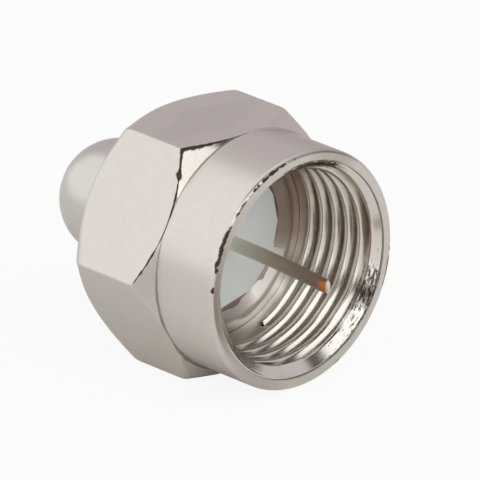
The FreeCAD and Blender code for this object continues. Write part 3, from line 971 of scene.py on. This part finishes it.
def clouded_plastic(name, colour, shade, cloud_size, roughness):
    """Dull plastic whose colour drifts in clouds, with a fine pebbled surface."""
    material, tree, output = new_material(name)
    place = add_node(tree, "ShaderNodeTexCoord").outputs["Object"]
    cloud = noise(tree, place, 1 / (cloud_size * MM), detail=5.0)
    pebble = noise(tree, place, pebbles_per_cloud / (cloud_size * MM), detail=2.0)
    mixed = tint(tree, cloud, (*shade, 1), (*colour, 1))
    relief = add_node(tree, "ShaderNodeBump", inputs={
        "Strength": 0.3, "Distance": 0.005 * MM, "Height": pebble})
    surface = add_node(tree, "ShaderNodeBsdfPrincipled", inputs={
        "Base Color": mixed, "Roughness": roughness, "Normal": relief.outputs[0]})
    tree.links.new(surface.outputs[0], output.inputs["Surface"])
    return material


def finish_node(node, material):
    """Give a solid that is kept as it is one material all over."""
    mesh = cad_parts[node].data
    mesh.materials.clear()
    mesh.materials.append(material)
    mesh.polygons.foreach_set("material_index", [0] * len(mesh.polygons))


finish_node("insulator", clouded_plastic(
    "insulator_plastic", insulator_colour, insulator_shade, insulator_cloud, insulator_roughness))


# Centre pin
# The resistor's tinned copper lead, which is the coaxial contact. It is bent down a little by use, and
# side cutters nipped it off, so its end is pinched and shows copper on the cut.
wire_radius = 0.34
pin_tip_depth = -1.6
pin_back_depth = 6.5
pin_bend_start = 4.6
pin_drop = 0.30
pin_tip_radius = 0.305
pinch_length = 0.24
pinch_left = 0.5
pinch_shares = (0.1, 0.3, 0.5, 0.7, 0.86, 0.95)
pinch_curve = 1.3
# What the nipped end itself keeps of the pinched width and of the height.
end_width_left = 0.86
end_height_left = 0.93
# The cut is on the left, where the cosine is below this.
cut_limit = -0.1
bend_steps = 24
pin_sides = 40
pin_sharp_angle = 50
cut_face_length = 0.06
tin_colour = (0.87, 0.85, 0.75)
tin_shade = (0.78, 0.76, 0.66)
pin_tarnish = (0.30, 0.21, 0.15, 1)
copper_colour = (0.42, 0.13, 0.035, 1)
tin_metallic = 0.75
bare_limit = 0.4


def pin_drop_at(depth):
    """How far the bend has taken the wire below the axis."""
    past_bend = max(0.0, pin_bend_start - depth)
    return pin_drop * (past_bend / (pin_bend_start - pin_tip_depth)) ** 2


def pin_radius_at(depth):
    """The wire thins a little towards the end that was pulled through the cutters."""
    share = max(0.0, pin_bend_start - depth) / (pin_bend_start - pin_tip_depth)
    return wire_radius + (pin_tip_radius - wire_radius) * share


def pin_rows():
    """The wire's rings as (depth, width share, height share, cut) from the back to the nipped end."""
    rows = [(pin_back_depth, 1, 1, 0), (pin_bend_start, 1, 1, 0)]
    pinch_start = pin_tip_depth + pinch_length
    for step in range(1, bend_steps + 1):
        rows.append((pin_bend_start + (pinch_start - pin_bend_start) * step / bend_steps, 1, 1, 0))
    for share in pinch_shares:
        rows.append((pinch_start - pinch_length * share, 1 - (1 - pinch_left) * share ** pinch_curve, 1, 1))
    rows.append((pin_tip_depth, pinch_left * end_width_left, end_height_left, 0))
    return rows


def pin_mesh():
    vertices = []
    cut = []
    rows = pin_rows()
    for depth, width, height, is_cut in rows:
        for side in range(pin_sides):
            angle = 2 * math.pi * side / pin_sides
            x = pin_radius_at(depth) * width * math.cos(angle)
            z = pin_radius_at(depth) * height * math.sin(angle) - pin_drop_at(depth)
            vertices.append((x * MM, depth * MM, z * MM))
            cut.append(is_cut if math.cos(angle) < cut_limit else 0)
    faces = [tuple(range(pin_sides))]
    for row in range(len(rows) - 1):
        for side in range(pin_sides):
            following = (side + 1) % pin_sides
            faces.append((row * pin_sides + side, row * pin_sides + following,
                          (row + 1) * pin_sides + following, (row + 1) * pin_sides + side))
    last = (len(rows) - 1) * pin_sides
    faces.append(tuple(range(last, last + pin_sides)))
    mesh = bpy.data.meshes.new("centre_pin_wire")
    mesh.from_pydata(vertices, [], faces)
    mesh.attributes.new("cut", "FLOAT", "POINT").data.foreach_set("value", cut)
    return close_mesh(mesh, pin_sharp_angle)


tin_material, tin_tree, tin_place, tin_surface = satin_metal(
    "tinned_wire", tin_colour, tin_shade, roughness=0.34, line_share=0.1, bump=0.05)
tin_depth = parts_of(tin_tree, tin_place)["Y"]
bare_noise = noise(tin_tree, tin_place, scale=2600.0, detail=3.0)
bare_patches = number(tin_tree, "GREATER_THAN", bare_noise, bare_limit)
bare_share = product(tin_tree, attribute_of(tin_tree, "cut"), bare_patches)
handled = remap(tin_tree, tin_depth, pin_tip_depth * MM, pin_bend_start * MM, 1.0, 0.0, "LINEAR")
behind_cut = number(tin_tree, "GREATER_THAN", tin_depth, (pin_tip_depth + cut_face_length) * MM)
tin_colours = tint(tin_tree, product(tin_tree, handled, behind_cut), fed_by(tin_surface, "Base Color"),
                   pin_tarnish)
tin_colours = tint(tin_tree, bare_share, tin_colours, copper_colour)
tin_tree.links.new(tin_colours, tin_surface.inputs["Base Color"])
tin_surface.inputs["Metallic"].default_value = tin_metallic
centre_pin = make_object("centre_pin_wire", pin_mesh(), tin_material)
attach(centre_pin, "terminator_core")
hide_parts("centre_pin")


# Load and solder
# Inside the closed shell, out of sight: an axial resistor in glossy lacquer with its value in colour
# bands, its tinned rear lead, and the drop of solder that joins the lead to the end of the bore.
lacquer_colour = (0.20, 0.38, 0.45, 1)
lacquer_shade = (0.17, 0.323, 0.3825, 1)
band_colours = [(0.22, 0.05, 0.35, 1), (0.05, 0.28, 0.08, 1), (0.01, 0.01, 0.01, 1), (0.60, 0.36, 0.06, 1)]
band_depths = [7.35, 8.35, 9.2, 10.45]
band_half_width = 0.22
band_waver = 0.12
solder_colour = (0.68, 0.68, 0.67)
solder_shade = (0.55, 0.55, 0.54)


def banded_lacquer(name):
    """Glossy lacquer with a band of paint at each depth, whose edges waver a little."""
    material, tree, output = new_material(name)
    place = add_node(tree, "ShaderNodeTexCoord").outputs["Object"]
    wobble = noise(tree, place, scale=900.0, detail=3.0)
    shifted = number(tree, "MULTIPLY_ADD", wobble, band_waver * MM, parts_of(tree, place)["Y"])
    colour = tint(tree, wobble, lacquer_shade, lacquer_colour)
    for depth, band in zip(band_depths, band_colours):
        in_band = number(tree, "LESS_THAN", gap_from(tree, shifted, depth), band_half_width * MM)
        colour = tint(tree, in_band, colour, band)
    relief = add_node(tree, "ShaderNodeBump", inputs={
        "Strength": 0.2, "Distance": 0.01 * MM, "Height": wobble})
    surface = add_node(tree, "ShaderNodeBsdfPrincipled", inputs={
        "Base Color": colour, "Roughness": 0.3, "Coat Weight": 0.6, "Normal": relief.outputs[0]})
    tree.links.new(surface.outputs[0], output.inputs["Surface"])
    return material


finish_node("resistor", banded_lacquer("resistor_lacquer"))
finish_node("rear_lead", satin_metal(
    "tinned_rear_wire", tin_colour, tin_shade, roughness=0.33, line_share=0.1, bump=0.6)[0])
finish_node("solder_joint", satin_metal(
    "solder", solder_colour, solder_shade, roughness=0.2, line_share=0.0, bump=0.8)[0])


# Retaining ring
# A split ring of plain spring wire, rolled flat, that snaps into the shell's groove and keeps the nut.
# It is hidden between the two.
spring_colour = (0.52, 0.50, 0.47)
spring_shade = (0.40, 0.38, 0.35)
finish_node("retaining_ring", satin_metal(
    "spring_wire", spring_colour, spring_shade, roughness=0.3, line_share=0.6, bump=0.5)[0])
